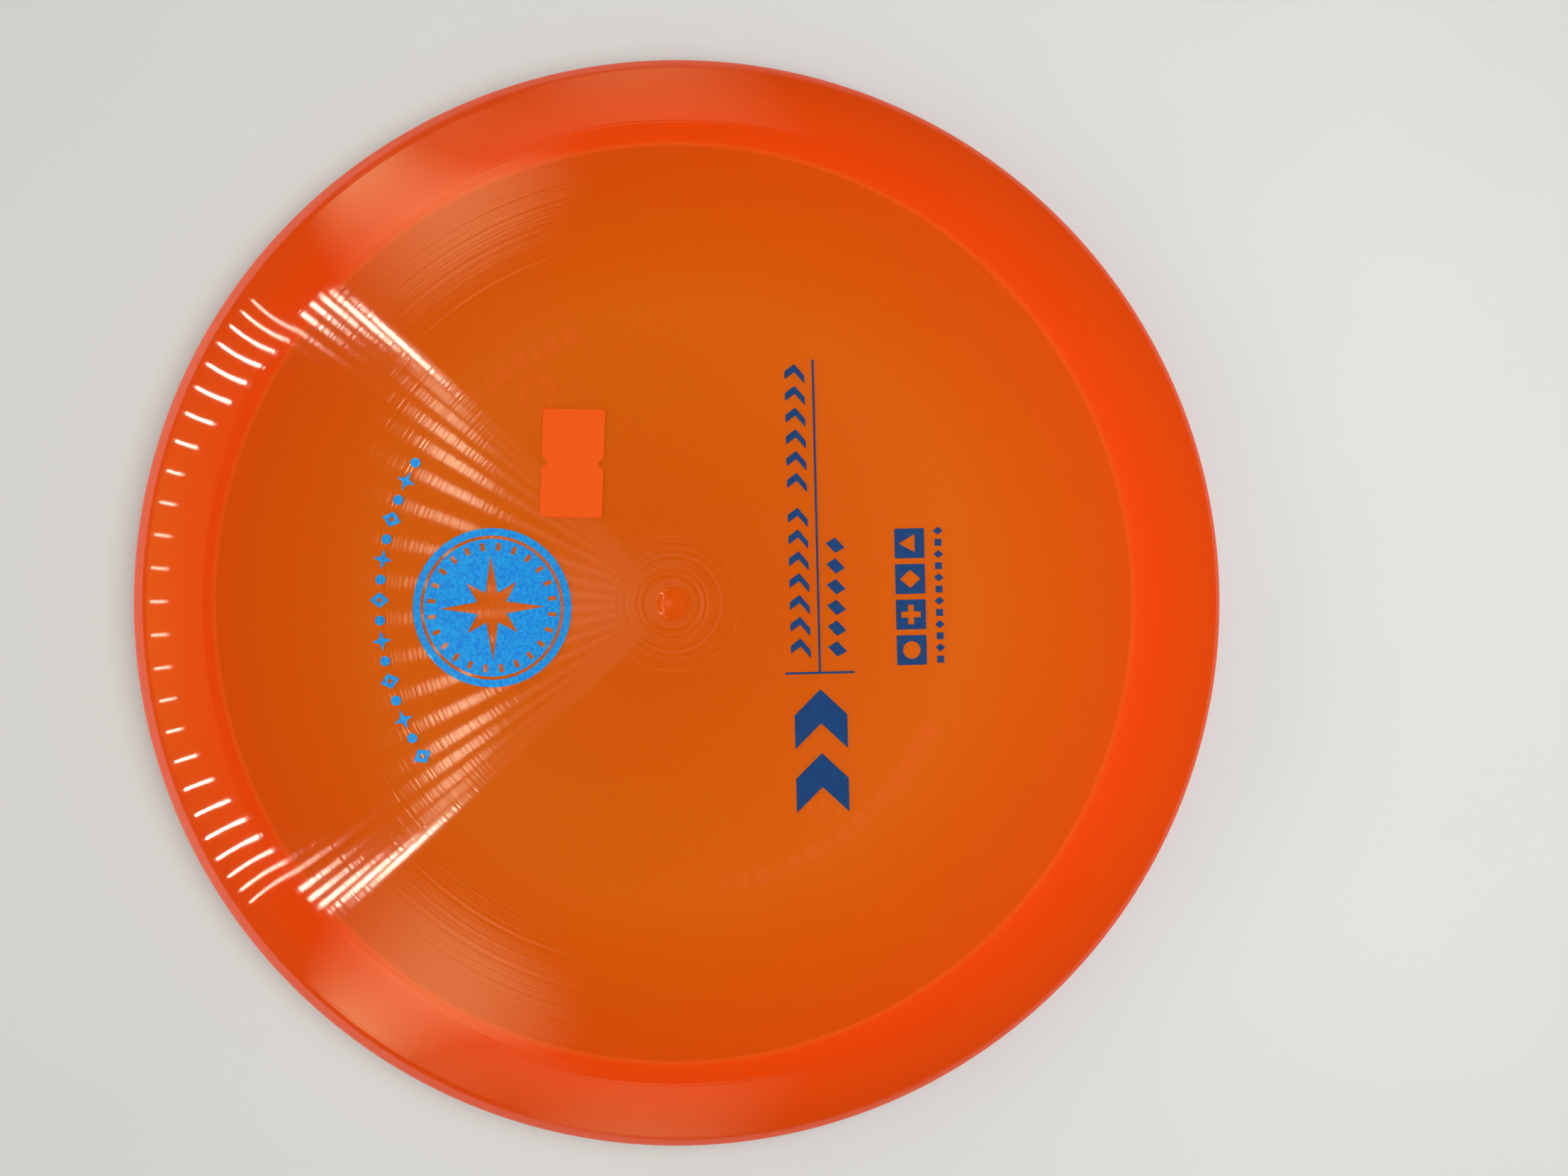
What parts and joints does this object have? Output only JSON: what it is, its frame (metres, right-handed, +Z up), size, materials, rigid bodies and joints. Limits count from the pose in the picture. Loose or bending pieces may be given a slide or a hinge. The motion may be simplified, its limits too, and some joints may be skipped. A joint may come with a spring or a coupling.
{
  "type": "flying disc",
  "caption": "Golf-style flying disc: low domed plate with a broad wing-shaped rim, foil-stamped with plain marks and carrying a small adhesive price label.",
  "frame": {"origin": "middle of the plane that the rim's foot rests on, under the centre of the disc", "axes": "+Z up along the disc's axis through its top face, +X the way the stamp reads, +Y towards the medallion, the stamp's top"},
  "size_m": [0.212, 0.212, 0.016],
  "materials": {
    "orange_plastic": "satin",
    "blue_foil": "satin",
    "navy_foil": "satin",
    "label_paper": "matte"
  },
  "bodies": {
    "root": {"arc_dot_02": "blue_foil", "arc_dot_04": "blue_foil", "arc_dot_06": "blue_foil", "arc_dot_08": "blue_foil", "arc_dot_10": "blue_foil", "arc_dot_12": "blue_foil", "arc_dot_14": "blue_foil", "arc_dot_16": "blue_foil", "arc_lozenge_01": "blue_foil", "arc_lozenge_05": "blue_foil", "arc_lozenge_09": "blue_foil", "arc_lozenge_13": "blue_foil", "arc_spark_03": "blue_foil", "arc_spark_07": "blue_foil", "arc_spark_11": "blue_foil", "arc_spark_15": "blue_foil", "bold_arrowhead_1": "navy_foil", "bold_arrowhead_2": "navy_foil", "disc_body": "orange_plastic", "lower_lozenge_1": "navy_foil", "lower_lozenge_2": "navy_foil", "lower_lozenge_3": "navy_foil", "lower_lozenge_4": "navy_foil", "lower_lozenge_5": "navy_foil", "lower_lozenge_6": "navy_foil", "medallion_border": "blue_foil", "medallion_field": "blue_foil", "price_label": "label_paper", "small_lozenge_02": "navy_foil", "small_lozenge_04": "navy_foil", "small_lozenge_06": "navy_foil", "small_lozenge_08": "navy_foil", "small_lozenge_10": "navy_foil", "small_lozenge_12": "navy_foil", "small_square_01": "navy_foil", "small_square_03": "navy_foil", "small_square_05": "navy_foil", "small_square_07": "navy_foil", "small_square_09": "navy_foil", "small_square_11": "navy_foil", "square_with_disc": "navy_foil", "square_with_lozenge": "navy_foil", "square_with_plus": "navy_foil", "square_with_triangle": "navy_foil", "t_rule": "navy_foil", "upper_chevron_01": "navy_foil", "upper_chevron_02": "navy_foil", "upper_chevron_03": "navy_foil", "upper_chevron_04": "navy_foil", "upper_chevron_05": "navy_foil", "upper_chevron_06": "navy_foil", "upper_chevron_07": "navy_foil", "upper_chevron_08": "navy_foil", "upper_chevron_09": "navy_foil", "upper_chevron_10": "navy_foil", "upper_chevron_11": "navy_foil", "upper_chevron_12": "navy_foil", "upper_chevron_13": "navy_foil"}
  },
  "joints": []
}
